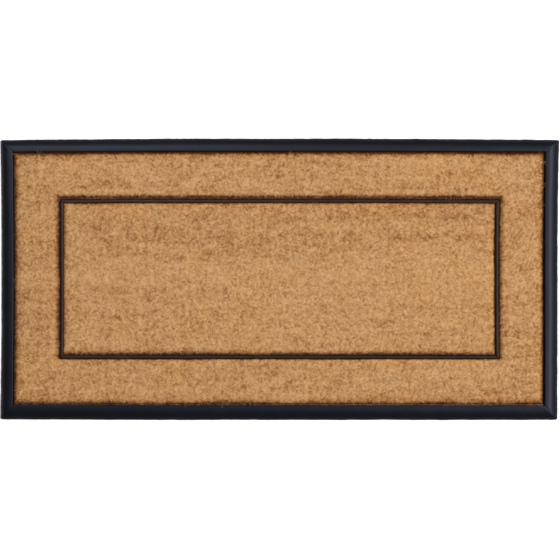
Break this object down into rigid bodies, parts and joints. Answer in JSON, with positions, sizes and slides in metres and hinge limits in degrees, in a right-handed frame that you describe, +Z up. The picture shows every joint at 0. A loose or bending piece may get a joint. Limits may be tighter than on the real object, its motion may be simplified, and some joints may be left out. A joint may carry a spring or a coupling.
{
  "type": "door mat",
  "caption": "Rectangular door mat: a ring and an inset panel of clipped coir pile on a rubber backing, framed by a mitred rubber border and a thin raised rubber rib.",
  "frame": {"origin": "middle of the underside, where the mat lies on the floor", "axes": "+X along the length to the right, +Y towards the rear edge, +Z up out of the pile"},
  "size_m": [1.219, 0.616, 0.016],
  "materials": {
    "rubber": "satin moulded black rubber",
    "coir_pile": "matte clipped coconut fibre",
    "coir_ground": "matte coarse coir yarn weave"
  },
  "bodies": {
    "root": {"backing_sheet": "rubber", "border_rear": "rubber", "border_front": "rubber", "border_left": "rubber", "border_right": "rubber", "rib_rear": "rubber", "rib_front": "rubber", "rib_left": "rubber", "rib_right": "rubber", "outer_ground": "coir_ground", "outer_pile": "coir_pile", "inner_ground": "coir_ground", "inner_pile": "coir_pile"}
  },
  "joints": []
}
